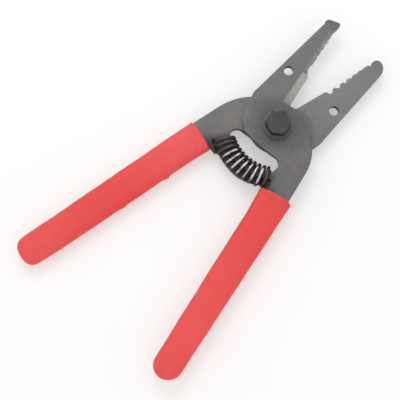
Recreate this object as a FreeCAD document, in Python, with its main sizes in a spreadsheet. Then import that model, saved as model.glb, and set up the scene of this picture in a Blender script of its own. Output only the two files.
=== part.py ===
import FreeCAD, Part

import math
import os

from FreeCAD import Placement, Rotation, Vector
import Sketcher

# Wire stripper: two lapped flat steel levers on one pivot bolt, each with a jaw in front
# and a dipped vinyl grip behind, held open by a coil spring bent round the pivot.
#
# Frame, in mm: origin on the pivot axis in the plane the tool rests on, +Y towards the
# jaws along the tool's centreline, +Z up along the pivot towards the bolt's head.
# The tool is modelled open. Each lever is drawn with its own centreline along +Y and is
# then turned by half the opening: the upper one to the left, the lower one to the right.

doc = FreeCAD.newDocument("wire_stripper")

# Driving dimensions, in mm and degrees
sheet = doc.addObject("Spreadsheet::Sheet", "dims")
values = {
    "open_half_angle": 13.7,
    "plate_thick": 3.0,
    "lap_gap": 0.05,
    "bolt_end_proud": 0.4,
    "nut_height": 2.4,
    "spring_washer_thick": 0.4,
    "head_washer_thick": 0.6,
    "head_height": 4.0,
    "across_flats": 9.5,
    "hexagon_turn": 40.0,
    "bolt_radius": 3.0,
    "pivot_clearance": 0.04,
    "thread_radius": 2.85,
    "thread_clearance": 0.03,
    "head_washer_radius": 6.2,
    "washer_clearance": 0.15,
    "spring_washer_rim": 1.75,
    "washer_split": 0.8,
    "loop_hole_radius": 2.0,
    "cutter_bevel_length": 15.6,
    "strip_bevel_length": 21.5,
    "spring_path_radius": 22.15,
    "spring_drift": 0.5,
    "spring_bore_clearance": 0.35,
    "wire_radius": 0.65,
    "spring_turns": 11.0,
    "seat_lip": 0.75,
    "upper_lip_span": 2.6,
    "lower_lip_span": 12.3,
    "finger_half_width": 1.1,
    "finger_span": 42.0,
    "upper_seat_angle": 22.8,
    "lower_seat_angle": 20.5,
    "grip_thick": 6.2,
    "grip_edge_round": 2.4,
    "grip_cavity_thick": 3.1,
    "grip_cavity_gap": 0.05,
}
for row, (name, value) in enumerate(values.items(), start=1):
    sheet.set("A%d" % row, name)
    sheet.set("B%d" % row, str(value))
    sheet.setAlias("B%d" % row, name)
doc.recompute()


def size(name):
    return float(sheet.get(name))


# Heights along the pivot, as expressions over the sheet
nut_top = "dims.bolt_end_proud + dims.nut_height"
lower_bottom = nut_top + " + dims.spring_washer_thick"
upper_bottom = lower_bottom + " + dims.plate_thick + dims.lap_gap"
plates_top = upper_bottom + " + dims.plate_thick"
head_bottom = plates_top + " + dims.head_washer_thick"


def spring_outer_radius():
    """The spring's bore clears the corners of the two fingers stacked inside it; the wire is outside that."""
    finger_corner = math.hypot(size("finger_half_width"), size("plate_thick") + size("lap_gap") / 2)
    return finger_corner + size("spring_bore_clearance") + 2 * size("wire_radius")


behind_spring = -size("spring_path_radius") - spring_outer_radius()


def new_body(label):
    body = doc.addObject("PartDesign::Body", label)
    body.Label = label
    return body


def new_sketch(body, role, name):
    """A sketch on one of the body's own origin planes, such as XY_Plane."""
    sketch = body.newObject("Sketcher::SketchObject", name)
    plane = [f for f in body.Origin.OriginFeatures if f.Role == role][0]
    sketch.AttachmentSupport = (plane, [""])
    sketch.MapMode = "FlatFace"
    return sketch


def at(point):
    return Vector(point[0], point[1], 0)


def polar(radius, angle):
    """A point at an angle in degrees from the -Y axis, positive towards +X."""
    a = math.radians(angle)
    return (radius * math.sin(a), -radius * math.cos(a))


def draw(sketch, start, steps):
    """Closes a loop of lines, given by their end, and arcs, given by a middle point and their end."""
    here = start
    for step in steps:
        if len(step) == 1:
            sketch.addGeometry(Part.LineSegment(at(here), at(step[0])), False)
        else:
            sketch.addGeometry(Part.Arc(at(here), at(step[0]), at(step[1])), False)
        here = step[-1]
    if math.dist(here, start) > 1e-6:
        sketch.addGeometry(Part.LineSegment(at(here), at(start)), False)


def add_circle(sketch, centre, *names):
    """A circle whose radius is the sum of the named cells of the sheet."""
    radius = sum(size(name) for name in names)
    index = sketch.addGeometry(Part.Circle(at(centre), Vector(0, 0, 1), radius), False)
    place = sketch.addConstraint(Sketcher.Constraint("Radius", index, radius))
    sketch.setExpression("Constraints[%d]" % place, " + ".join("dims." + name for name in names))


def scallops(edge, notches):
    """Arcs down a jaw's edge: edge(v) is its u there, each notch is its v, half width and depth."""
    steps = []
    for v, half, depth in notches:
        steps.append(((edge(v + half), v + half),))
        steps.append(((edge(v) + depth, v), (edge(v - half), v - half)))
    return steps


def seat_and_finger(side, seat, lip_span):
    """From the pocket's lip past the spring's seat, out round the curved finger and back to the slot."""
    middle = size("spring_path_radius")
    coil = spring_outer_radius()
    lip = size("seat_lip")
    half = size("finger_half_width")
    tip = seat - size("finger_span")
    bow = math.degrees(half / middle)

    def on(radius, angle):
        return polar(radius, side * angle)

    return [
        (on(middle + coil + 1.5 * lip, seat - lip_span),),
        (on(middle + coil + lip, seat),),
        (on(middle + half, seat),),
        (on(middle + half, (seat + tip) / 2), on(middle + half, tip)),
        (on(middle, tip - bow), on(middle - half, tip)),
        (on(middle - half, (seat + tip) / 2), on(middle - half, seat)),
        (on(middle - half - lip, seat),),
    ]


def grind(body, name, face, toward, start, lean, slope, length):
    """A bevel ground along a jaw's edge: a wedge cut from the face at height `face`, whose back line
    starts at the point `start`, leans by `lean` degrees and drops by `slope` per mm towards the edge."""
    wedge = new_sketch(body, "XZ_Plane", name + "_wedge")
    turn = Rotation(Vector(0, 1, 0), lean)
    wedge.AttachmentOffset = Placement(Vector(start[0], 0, -start[1]), turn)
    out = 0.2 if face > 0 else -0.2
    drop = -slope if face > 0 else slope
    reach = 4.6 * toward
    corners = [(0, face), (0, face + out), (reach, face + out), (reach, face + 4.6 * drop)]
    draw(wedge, corners[0], [(c,) for c in corners[1:]])
    doc.recompute()
    before = body.Shape.Volume
    cut = body.newObject("PartDesign::Pocket", name)
    cut.Profile = wedge
    cut.Type = 0
    cut.setExpression("Length", "dims." + length)
    doc.recompute()
    if not before - body.Shape.Volume > 1:
        raise RuntimeError(name + " removes nothing")


def turned(body, turn, height):
    """Turns a body about the pivot by half the opening and sets it at its height."""
    body.Placement = Placement(Vector(0, 0, 0), Rotation(Vector(0, 0, turn), size("open_half_angle")))
    body.setExpression("Placement.Rotation.Angle", "dims.open_half_angle")
    body.setExpression("Placement.Base.z", height)


# Upper lever: stamped steel plate, the square-tipped jaw on the left and its handle on the right

upper_lever = new_body("upper_lever")
upper_outline = new_sketch(upper_lever, "XY_Plane", "upper_outline")


def upper_edge(v):
    return -0.22 + 0.056 * (v - 31.2)


def upper_handle(gap):
    """The handle down one side, round its end and up the other, grown by a gap."""
    return [
        ((19.72 + gap, -27.0),),
        ((15.6 + gap, -106.5),),
        ((10.9, -111.2 - gap), (6.2 - gap, -106.5)),
        ((6.35 - gap, -98.0),),
        ((8.35 - gap, -40.0),),
        ((8.6 - gap, behind_spring - 1.5),),
    ]


draw(
    upper_outline,
    (-4.49, 48.0),
    [
        ((-4.2, 50.0), (-3.1, 50.65)),
        ((0.5, 51.25),),
        ((1.3, 51.05), (1.5, 50.2)),
        ((1.08, 48.2),),
        ((0.7, 47.1), (upper_edge(46.2), 46.2)),
    ]
    + scallops(upper_edge, [(43.4, 0.5, -0.12), (40.8, 0.6, -0.2), (37.8, 0.75, -0.25), (34.6, 0.9, -0.3)])
    + [
        ((-0.25, 30.9),),
        ((-0.85, 28.6), (-0.4, 26.3)),
        ((0.58, 24.9),),
        ((0.72, 24.0),),
        ((0.3, 11.6),),
        ((0.85, 10.0), (2.2, 9.4)),
        ((8.2, 10.0),),
        ((11.9, 7.6), (14.1, 2.6)),
        ((15.0, 0.1), (17.2, -1.6)),
        ((19.25, -6.2), (20.0, -13.0)),
    ]
    + upper_handle(0)
    + seat_and_finger(1, size("upper_seat_angle"), size("upper_lip_span"))
    + [
        ((8.75, -16.3),),
        ((8.05, -13.6), (5.4, -12.35)),
        ((-2.9, -11.2), (-10.9, -8.9)),
        ((-13.9, -4.1), (-14.9, 1.5)),
        ((-15.3, 5.6),),
        ((-15.4, 7.4), (-14.95, 8.9)),
    ],
)
add_circle(upper_outline, (0, 0), "bolt_radius", "pivot_clearance")
add_circle(upper_outline, (-7.45, 22.5), "loop_hole_radius")
upper_plate = upper_lever.newObject("PartDesign::Pad", "upper_plate")
upper_plate.Profile = upper_outline
upper_plate.setExpression("Length", "dims.plate_thick")
grind(upper_lever, "upper_cutter_bevel", size("plate_thick"), 1, (-2.95, 9.7), -3.4, 0.72, "cutter_bevel_length")
grind(upper_lever, "upper_strip_bevel", size("plate_thick"), 1, (-1.75, 25.3), -6.3, 1.35, "strip_bevel_length")
turned(upper_lever, 1, upper_bottom)

# Lower lever: its round-tipped jaw is on the right, scalloped for the wire sizes, and its
# edges are ground on the underside, so that the two jaws' sharp edges pass face to face

lower_lever = new_body("lower_lever")
lower_outline = new_sketch(lower_lever, "XY_Plane", "lower_outline")


def lower_edge(v):
    return 0.2 - 0.0425 * v


def lower_handle(gap):
    """The handle down one side, round its end and up the other, grown by a gap."""
    return [
        ((-19.9 - gap, -27.0),),
        ((-15.8 - gap, -111.8),),
        ((-14.6 - gap, -115.0 - gap), (-10.7, -116.2 - gap)),
        ((-6.8 + gap, -115.0 - gap), (-5.6 + gap, -111.8)),
        ((-5.7 + gap, -103.0),),
        ((-8.1 + gap, -41.0),),
        ((-8.35 + gap, behind_spring - 1.5),),
    ]


draw(
    lower_outline,
    (4.65, 48.8),
    [
        ((3.2, 51.1), (0.9, 52.05)),
        ((-1.1, 51.5), (-1.9, 49.8)),
        ((-1.75, 48.7),),
        ((-0.95, 47.7), (lower_edge(46.7), 46.7)),
    ]
    + scallops(lower_edge, [(43.4, 0.5, 0.2), (40.8, 0.6, 0.4), (37.8, 0.8, 0.6), (34.6, 1.0, 0.8)])
    + scallops(lower_edge, [(31.1, 1.2, 1.05), (27.1, 1.35, 1.2)])
    + [
        ((-1.62, 25.1),),
        ((-1.98, 12.0),),
        ((-2.5, 10.2), (-3.9, 9.4)),
        ((-8.6, 10.0),),
        ((-11.9, 7.6), (-14.1, 2.6)),
        ((-14.7, 0.0), (-16.3, -1.8)),
        ((-18.6, -6.6), (-20.1, -15.0)),
    ]
    + lower_handle(0)
    + seat_and_finger(-1, size("lower_seat_angle"), size("lower_lip_span"))
    + [
        ((-8.5, -17.3),),
        ((-8.0, -14.4), (-5.8, -13.1)),
        ((-1.9, -11.6),),
        ((5.0, -10.2), (10.2, -5.2)),
        ((14.5, -0.6),),
        ((15.8, 2.4), (15.9, 7.5)),
        ((15.46, 12.0),),
        ((14.2, 16.0),),
    ],
)
add_circle(lower_outline, (0, 0), "bolt_radius", "pivot_clearance")
add_circle(lower_outline, (7.0, 23.7), "loop_hole_radius")
lower_plate = lower_lever.newObject("PartDesign::Pad", "lower_plate")
lower_plate.Profile = lower_outline
lower_plate.setExpression("Length", "dims.plate_thick")
grind(lower_lever, "lower_cutter_bevel", 0, -1, (1.2, 9.7), 1.3, 0.78, "cutter_bevel_length")
grind(lower_lever, "lower_strip_bevel", 0, -1, (0.5, 26.3), 2.6, 1.3, "strip_bevel_length")
turned(lower_lever, -1, lower_bottom)

# Grips: dipped vinyl sleeves, open at the mouth, with a cavity that takes the handle


def grip(label, outline, start, cavity, mouth, turn, height):
    body = new_body(label)
    skin = new_sketch(body, "XY_Plane", label + "_outline")
    draw(skin, start, outline)
    dip = body.newObject("PartDesign::Pad", label + "_dip")
    dip.Profile = skin
    dip.setExpression("Length", "dims.grip_thick")
    dip.Midplane = True
    doc.recompute()
    half = size("grip_thick") / 2
    rounds = []
    for number, edge in enumerate(dip.Shape.Edges, start=1):
        box = edge.BoundBox
        flat = box.ZLength < 1e-6 and abs(abs(box.ZMin) - half) < 1e-6
        behind = box.YMin < behind_spring - 3
        if flat and behind:
            rounds.append("Edge%d" % number)
    fillet = body.newObject("PartDesign::Fillet", label + "_round")
    fillet.Base = (dip, rounds)
    fillet.setExpression("Radius", "dims.grip_edge_round")
    doc.recompute()
    room = new_sketch(body, "XY_Plane", label + "_cavity_outline")
    draw(room, mouth[0], cavity + [(mouth[1],)])
    hollow = body.newObject("PartDesign::Pocket", label + "_cavity")
    hollow.Profile = room
    hollow.Type = 0
    hollow.setExpression("Length", "dims.grip_cavity_thick")
    hollow.Midplane = True
    doc.recompute()
    if not hollow.Shape.Volume < fillet.Shape.Volume - 100:
        raise RuntimeError(label + " is not hollow")
    turned(body, turn, height + " + dims.plate_thick / 2")
    return body


gap = size("grip_cavity_gap")
upper_grip = grip(
    "upper_grip",
    [
        ((20.55, -40.0),),
        ((17.25, -100.0),),
        ((16.9, -106.85),),
        ((10.85, -112.9), (4.8, -106.85)),
        ((4.95, -100.0),),
        ((6.15, -60.0),),
        ((7.0, -40.0),),
        ((6.95, behind_spring - 0.1),),
        ((13.5, behind_spring + 1.4), (21.25, behind_spring - 0.1)),
    ],
    (21.25, behind_spring - 0.1),
    upper_handle(gap),
    ((19.82 + gap, -20.0), (8.6 - gap, -20.0)),
    1,
    upper_bottom,
)
lower_grip = grip(
    "lower_grip",
    [
        ((-20.25, -40.0),),
        ((-17.3, -100.0),),
        ((-16.8, -112.6),),
        ((-15.8, -116.0), (-13.2, -117.45)),
        ((-10.6, -117.8), (-7.8, -117.5)),
        ((-5.1, -116.0), (-4.15, -112.8)),
        ((-4.3, -100.0),),
        ((-5.9, -60.0),),
        ((-6.85, -40.0),),
        ((-6.8, behind_spring - 1.8),),
        ((-13.5, behind_spring - 1.4), (-20.75, behind_spring - 1.9)),
    ],
    (-20.75, behind_spring - 1.9),
    lower_handle(gap),
    ((-20.0 - gap, -20.0), (-8.35 + gap, -20.0)),
    -1,
    lower_bottom,
)

# Bolt, nut and washers: plain turned and hexagonal shapes round the pivot


def cylinder(label, radius, height, bottom):
    piece = doc.addObject("Part::Cylinder", label)
    piece.setExpression("Radius", radius)
    piece.setExpression("Height", height)
    piece.setExpression("Placement.Base.z", bottom)
    return piece


def hexagon(label, height, bottom, chamfer_up):
    """A hexagonal prism with the corners of one end chamfered by a cone."""
    prism = doc.addObject("Part::Prism", label + "_prism")
    prism.Polygon = 6
    prism.setExpression("Circumradius", "dims.across_flats / 2 / cos(30)")
    prism.setExpression("Height", height)
    prism.setExpression("Placement.Base.z", bottom)
    prism.Placement.Rotation = Rotation(Vector(0, 0, 1), size("hexagon_turn"))
    prism.setExpression("Placement.Rotation.Angle", "dims.hexagon_turn")
    cone = doc.addObject("Part::Cone", label + "_cone")
    small = "dims.across_flats / 2 - 0.2"
    large = small + " + 1.732 * " + height
    cone.setExpression("Radius1", large if chamfer_up else small)
    cone.setExpression("Radius2", small if chamfer_up else large)
    cone.setExpression("Height", height)
    cone.setExpression("Placement.Base.z", bottom)
    both = doc.addObject("Part::MultiCommon", label)
    both.Shapes = [prism, cone]
    return both


def without(label, whole, cutters):
    """A piece with each of the cutters taken out of it in turn."""
    for number, cutter in enumerate(cutters, start=1):
        cut = doc.addObject("Part::Cut", label if number == len(cutters) else label + "_cut%d" % number)
        cut.Base = whole
        cut.Tool = cutter
        whole = cut
    return whole


head = hexagon("bolt_head", "dims.head_height", head_bottom, True)
shank_length = "2 * dims.plate_thick + dims.lap_gap + dims.head_washer_thick + dims.spring_washer_thick"
shank = cylinder("bolt_shank", "dims.bolt_radius", shank_length, nut_top)
thread_length = "dims.bolt_end_proud + dims.nut_height - 0.35"
thread = cylinder("bolt_thread", "dims.thread_radius", thread_length, "0.35")
thread_end = doc.addObject("Part::Cone", "bolt_thread_end")
thread_end.setExpression("Radius1", "dims.thread_radius - 0.35")
thread_end.setExpression("Radius2", "dims.thread_radius")
thread_end.setExpression("Height", "0.35")
pivot_bolt = doc.addObject("Part::MultiFuse", "pivot_bolt")
pivot_bolt.Shapes = [head, shank, thread, thread_end]

nut_hexagon = hexagon("nut_hexagon", "dims.nut_height", "dims.bolt_end_proud", False)
nut_bore = "dims.thread_radius + dims.thread_clearance"
nut_hole = cylinder("nut_hole", nut_bore, "dims.nut_height + 2", "dims.bolt_end_proud - 1")
pivot_nut = without("pivot_nut", nut_hexagon, [nut_hole])

washer_disc = cylinder("head_washer_disc", "dims.head_washer_radius", "dims.head_washer_thick", plates_top)
washer_bore = "dims.bolt_radius + dims.washer_clearance"
washer_hole = cylinder("head_washer_hole", washer_bore, "4", plates_top + " - 2")
head_washer = without("head_washer", washer_disc, [washer_hole])

lock_radius = washer_bore + " + dims.spring_washer_rim"
lock_disc = cylinder("spring_washer_disc", lock_radius, "dims.spring_washer_thick", nut_top)
lock_hole = cylinder("spring_washer_hole", washer_bore, "4", nut_top + " - 2")
lock_split = doc.addObject("Part::Box", "spring_washer_split")
lock_split.setExpression("Length", lock_radius + " + 1")
lock_split.setExpression("Width", "dims.washer_split")
lock_split.Height = 4
lock_split.Placement = Placement(Vector(0, 0, 0), Rotation(Vector(0, 0, 1), 250))
lock_split.setExpression("Placement.Base.z", nut_top + " - 2")
spring_washer = without("spring_washer", lock_disc, [lock_hole, lock_split])

# Return spring: a wire coiled about an arc of its own radius round the pivot, between the two
# seats. Its coils are closer at the lower lever's seat and in the last turn at the other one.
# The wire's section is a six-sided stand-in for the round wire, flat where it meets the next coil.

doc.recompute()
path_radius = size("spring_path_radius")
wire_radius = size("wire_radius")
coil_radius = spring_outer_radius() - wire_radius
middle_height = size("bolt_end_proud") + size("nut_height") + size("spring_washer_thick")
middle_height += size("plate_thick") + size("lap_gap") / 2
innermost = path_radius - spring_outer_radius()
seat_room = math.degrees((wire_radius + 0.08) / innermost)
first_angle = -(size("lower_seat_angle") + size("open_half_angle") - seat_room)
last_angle = size("upper_seat_angle") + size("open_half_angle") - seat_room
turns = size("spring_turns")
steps_per_turn = 18
wire_sides = 6


def advance(turn):
    """How far the wire has gone along the arc after a number of turns: slower in the end coils."""
    start = 0.8 * (1 - math.exp(-turn / 1.6))
    end = 0.42 * (math.exp((turn - turns) / 0.6) - math.exp(-turns / 0.6))
    return turn - start - end


def on_coil(turn):
    """The wire's centre after a number of turns, and the direction out of the coil there. The coil
    sits a little further from the pivot at its first end, where the pocket is wider."""
    share = advance(turn) / advance(turns)
    angle = first_angle + (last_angle - first_angle) * share
    around = 2 * math.pi * turn
    drift = size("spring_drift") * (1 - share) ** 2
    x, y = polar(path_radius + drift + coil_radius * math.cos(around), angle)
    outward = Vector(*polar(1, angle), 0) * math.cos(around) + Vector(0, 0, 1) * math.sin(around)
    return Vector(x, y, middle_height + coil_radius * math.sin(around)), outward


# The polygon has the round wire's area
side_angle = 2 * math.pi / wire_sides
corner_radius = wire_radius * math.sqrt(side_angle / math.sin(side_angle))
rings = []
for step in range(round(turns * steps_per_turn) + 1):
    turn = step / steps_per_turn
    centre, outward = on_coil(turn)
    along = (on_coil(turn + 0.01)[0] - on_coil(turn - 0.01)[0]).normalize()
    across = along.cross(outward).normalize()
    outward = across.cross(along).normalize()
    corners = []
    for side in range(wire_sides):
        a = side * side_angle
        corners.append(centre + outward * (corner_radius * math.cos(a)) + across * (corner_radius * math.sin(a)))
    rings.append(Part.makePolygon(corners + [corners[0]]))
return_spring = doc.addObject("Part::Feature", "return_spring")
return_spring.Shape = Part.makeLoft(rings, True, True)
return_spring.Placement = Placement()

# Every sub-part is checked before anything is written

doc.recompute()
nodes = [
    lower_lever,
    upper_lever,
    lower_grip,
    upper_grip,
    pivot_bolt,
    head_washer,
    spring_washer,
    pivot_nut,
    return_spring,
]
for item in doc.Objects:
    if "Invalid" in item.State or "Error" in item.State:
        raise RuntimeError(item.Label + " did not recompute")
for node in nodes:
    if node.Shape.isNull() or not node.Shape.isValid() or len(node.Shape.Solids) != 1:
        raise RuntimeError(node.Label + " is not one valid solid")
os.makedirs("parts", exist_ok=True)
for node in nodes:
    node.Shape.exportStep("parts/" + node.Label + ".step")
    box = node.Shape.BoundBox
    low = "%.2f %.2f %.2f" % (box.XMin, box.YMin, box.ZMin)
    high = "%.2f %.2f %.2f" % (box.XMax, box.YMax, box.ZMax)
    print("%-14s %9.1f mm3  from %s  to %s" % (node.Label, node.Shape.Volume, low, high))
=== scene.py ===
import math

import bmesh
import bpy
import numpy as np
from mathutils import Matrix, Vector


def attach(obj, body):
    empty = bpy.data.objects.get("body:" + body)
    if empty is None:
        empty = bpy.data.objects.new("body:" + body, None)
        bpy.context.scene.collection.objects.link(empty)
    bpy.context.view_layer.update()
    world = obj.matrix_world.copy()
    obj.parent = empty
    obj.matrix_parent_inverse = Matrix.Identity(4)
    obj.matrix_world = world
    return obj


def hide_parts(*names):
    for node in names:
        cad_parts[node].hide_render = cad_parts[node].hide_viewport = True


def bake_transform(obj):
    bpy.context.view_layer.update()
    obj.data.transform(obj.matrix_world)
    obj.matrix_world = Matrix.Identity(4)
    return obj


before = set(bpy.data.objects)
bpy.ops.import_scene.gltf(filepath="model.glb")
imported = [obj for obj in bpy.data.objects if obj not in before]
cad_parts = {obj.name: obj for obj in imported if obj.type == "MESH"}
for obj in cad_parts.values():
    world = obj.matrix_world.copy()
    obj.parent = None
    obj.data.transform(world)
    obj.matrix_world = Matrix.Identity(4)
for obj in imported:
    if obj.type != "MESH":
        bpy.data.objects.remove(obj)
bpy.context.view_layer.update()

# The two levers: blanked from 3 mm steel plate and blackened, so their flats are a satin dark grey
# with a faint rolling grain. The jaws' edges are ground after that, which bares bright steel, and
# the blanked rims are tumbled round. Both stay the CAD's own nodes, with their rims rounded here.

MM = 0.001
IN_MM = (1 / MM, 1 / MM, 1 / MM)
OPEN_HALF_ANGLE = math.radians(13.7)
RIM_RADIUS = 0.22
SPRING_POCKET_RADIUS = 26
DULL_GREY = "#6f6e70"
WARM_GREY = "#787573"
UPPER_JAW_GREY = "#717171"
LOWER_JAW_GREY = "#808080"
PIVOT_GREY = "#605f61"
# The next grey is painted shade for the spring's pocket
POCKET_SHADE_GREY = "#494245"
TIP_GREY = "#686566"
GROUND_STEEL = "#b9bab3"
WORN_STEEL = "#b4b3b2"
RUBBED_RIM = "#8a8988"

# A Mix node either blends two colours or multiplies one by a shade
BLEND = {"data_type": "RGBA"}
SHADE = {"data_type": "RGBA", "blend_type": "MULTIPLY"}


def linear(code):
    """An sRGB hex colour as the linear colour that a socket takes."""
    parts = [int(code[i:i + 2], 16) / 255 for i in (1, 3, 5)]
    return [c / 12.92 if c <= 0.04045 else ((c + 0.055) / 1.055) ** 2.4 for c in parts] + [1.0]


def add_node(tree, kind, settings=None, inputs=None):
    """Adds a node to a material: its settings, and its inputs by name or number, each a value or a link."""
    node = tree.nodes.new("ShaderNode" + kind)
    for name, value in (settings or {}).items():
        setattr(node, name, value)
    for name, value in (inputs or {}).items():
        if isinstance(value, bpy.types.NodeSocket):
            tree.links.new(value, node.inputs[name])
        else:
            node.inputs[name].default_value = value
    return node


def new_material(name):
    """An empty node material and its tree."""
    material = bpy.data.materials.new(name)
    material.use_nodes = True
    material.node_tree.nodes.clear()
    return material, material.node_tree


def leaning_steel(tree, normal):
    """1 where steel leans between the flats and the walls, as only ground bevels and rounded rims do."""
    facing = add_node(tree, "SeparateXYZ", inputs={0: normal}).outputs["Z"]
    up = add_node(tree, "Math", {"operation": "ABSOLUTE"}, {0: facing}).outputs[0]
    not_flat = add_node(
        tree, "MapRange", inputs={"Value": up, "From Min": 0.955, "From Max": 0.9}
    ).outputs[0]
    not_wall = add_node(
        tree, "MapRange", inputs={"Value": up, "From Min": 0.3, "From Max": 0.45}
    ).outputs[0]
    return add_node(tree, "Math", {"operation": "MULTIPLY"}, {0: not_flat, 1: not_wall}).outputs[0]


def blackening(tree, v, clouds, jaw_grey):
    """Cloudy blackening in 10 mm patches, warm against cool, which turns to the jaw's own grey."""
    patches = add_node(
        tree, "MapRange", inputs={"Value": clouds, "From Min": 0.36, "From Max": 0.64}
    ).outputs[0]
    grey = add_node(
        tree, "Mix", BLEND, {"Factor": patches, 6: linear(DULL_GREY), 7: linear(WARM_GREY)}
    ).outputs[2]
    toward_jaw = add_node(tree, "MapRange", inputs={"Value": v, "From Min": 4, "From Max": 24}).outputs[0]
    return add_node(tree, "Mix", BLEND, {"Factor": toward_jaw, 6: grey, 7: linear(jaw_grey)}).outputs[2]


def oil_round_pivot(tree, grey, from_pivot, clouds):
    """Old oil darkens the plate round the pivot: most within 7 mm, and none past a ragged 14 mm."""
    ragged = add_node(
        tree, "Math", {"operation": "MULTIPLY_ADD"}, {0: clouds, 1: 7.0, 2: from_pivot}
    ).outputs[0]
    oily = add_node(
        tree,
        "MapRange",
        inputs={"Value": ragged, "From Min": 10.5, "From Max": 18, "To Min": 0.95, "To Max": 0},
    ).outputs[0]
    return add_node(tree, "Mix", BLEND, {"Factor": oily, 6: grey, 7: linear(PIVOT_GREY)}).outputs[2]


def shade_in_pocket(tree, grey, u, v, from_pivot, spots, pocket_end):
    """Painted shade in the spring's pocket, on the plate and fingers that the coils shade. It fades out by
    `pocket_end` degrees from the handle's line, and 9 mm to each side of its radius, with ragged edges."""
    sideways = add_node(tree, "Math", {"operation": "ABSOLUTE"}, {0: u}).outputs[0]
    backward = add_node(tree, "Math", {"operation": "MULTIPLY"}, {0: v, 1: -1}).outputs[0]
    aside = add_node(tree, "Math", {"operation": "ARCTAN2"}, {0: sideways, 1: backward}).outputs[0]
    aside = add_node(tree, "Math", {"operation": "MULTIPLY_ADD"}, {0: spots, 1: 0.12, 2: aside}).outputs[0]
    edge_from = math.radians(pocket_end)
    edge_to = math.radians(pocket_end - 8)
    by_angle = add_node(
        tree, "MapRange", inputs={"Value": aside, "From Min": edge_from, "From Max": edge_to}
    ).outputs[0]
    off_path = add_node(
        tree, "Math", {"operation": "SUBTRACT"}, {0: from_pivot, 1: SPRING_POCKET_RADIUS}
    ).outputs[0]
    off_path = add_node(tree, "Math", {"operation": "ABSOLUTE"}, {0: off_path}).outputs[0]
    off_path = add_node(
        tree, "Math", {"operation": "MULTIPLY_ADD"}, {0: spots, 1: 5.0, 2: off_path}
    ).outputs[0]
    by_reach = add_node(
        tree, "MapRange", inputs={"Value": off_path, "From Min": 11.5, "From Max": 7.5}
    ).outputs[0]
    pocket = add_node(tree, "Math", {"operation": "MULTIPLY"}, {0: by_angle, 1: by_reach}).outputs[0]
    return add_node(tree, "Mix", BLEND, {"Factor": pocket, 6: grey, 7: linear(POCKET_SHADE_GREY)}).outputs[2]


def turning_rings(tree, grey, from_pivot):
    """Turning has rubbed faint rings into the lapped plates, up to 15 mm from the pivot."""
    rings = add_node(
        tree, "TexNoise", {"noise_dimensions": "1D"}, {"W": from_pivot, "Scale": 0.8, "Detail": 2}
    ).outputs["Fac"]
    ring_shade = add_node(
        tree,
        "MapRange",
        inputs={"Value": rings, "From Min": 0.35, "From Max": 0.65, "To Min": 0.97, "To Max": 1.025},
    ).outputs[0]
    turned = add_node(
        tree,
        "MapRange",
        inputs={"Value": from_pivot, "From Min": 13, "From Max": 15, "To Min": 1, "To Max": 0},
    ).outputs[0]
    return add_node(tree, "Mix", SHADE, {"Factor": turned, 6: grey, 7: ring_shade}).outputs[2]


def rolled_skin(tree, grey, grain, spots):
    """The plate's skin: lines of rolling grain, and 3 mm spots in the blackening."""
    grain_shade = add_node(
        tree,
        "MapRange",
        inputs={"Value": grain, "From Min": 0.3, "From Max": 0.7, "To Min": 0.94, "To Max": 1.06},
    ).outputs[0]
    grey = add_node(tree, "Mix", SHADE, {"Factor": 1.0, 6: grey, 7: grain_shade}).outputs[2]
    spot_shade = add_node(
        tree,
        "MapRange",
        inputs={"Value": spots, "From Min": 0.3, "From Max": 0.7, "To Min": 0.93, "To Max": 1.06},
    ).outputs[0]
    return add_node(tree, "Mix", SHADE, {"Factor": 1.0, 6: grey, 7: spot_shade}).outputs[2]


def worn_edge(tree, grey, lever, u, v, edge, edge_slope, jaw_side, wear, worn_to):
    """Use has worn the jaw's edge bright in patches, within about 2 mm of it and up to v = `worn_to`."""
    edge_u = add_node(
        tree, "Math", {"operation": "MULTIPLY_ADD"}, {0: v, 1: edge_slope, 2: edge}
    ).outputs[0]
    inward = add_node(tree, "Math", {"operation": "SUBTRACT"}, {0: u, 1: edge_u}).outputs[0]
    inward = add_node(tree, "Math", {"operation": "MULTIPLY"}, {0: inward, 1: jaw_side}).outputs[0]
    at_edge = add_node(
        tree, "MapRange", inputs={"Value": inward, "From Min": 2.2, "From Max": 0.4, "To Max": wear}
    ).outputs[0]
    past_cutter = add_node(
        tree, "MapRange", inputs={"Value": v, "From Min": 25.5, "From Max": 27.0}
    ).outputs[0]
    to_tip = add_node(
        tree, "MapRange", inputs={"Value": v, "From Min": worn_to, "From Max": worn_to - 2}
    ).outputs[0]
    patchy = add_node(
        tree, "TexNoise", inputs={"Vector": lever, "Scale": 0.9, "Detail": 3, "Roughness": 0.6}
    ).outputs["Fac"]
    marks = add_node(
        tree, "MapRange", inputs={"Value": patchy, "From Min": 0.47, "From Max": 0.64, "To Min": 0.08}
    ).outputs[0]
    bright = add_node(tree, "Math", {"operation": "MULTIPLY"}, {0: at_edge, 1: marks}).outputs[0]
    bright = add_node(tree, "Math", {"operation": "MULTIPLY"}, {0: bright, 1: past_cutter}).outputs[0]
    bright = add_node(tree, "Math", {"operation": "MULTIPLY"}, {0: bright, 1: to_tip}).outputs[0]
    return add_node(tree, "Mix", BLEND, {"Factor": bright, 6: grey, 7: linear(WORN_STEEL)}).outputs[2]


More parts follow.
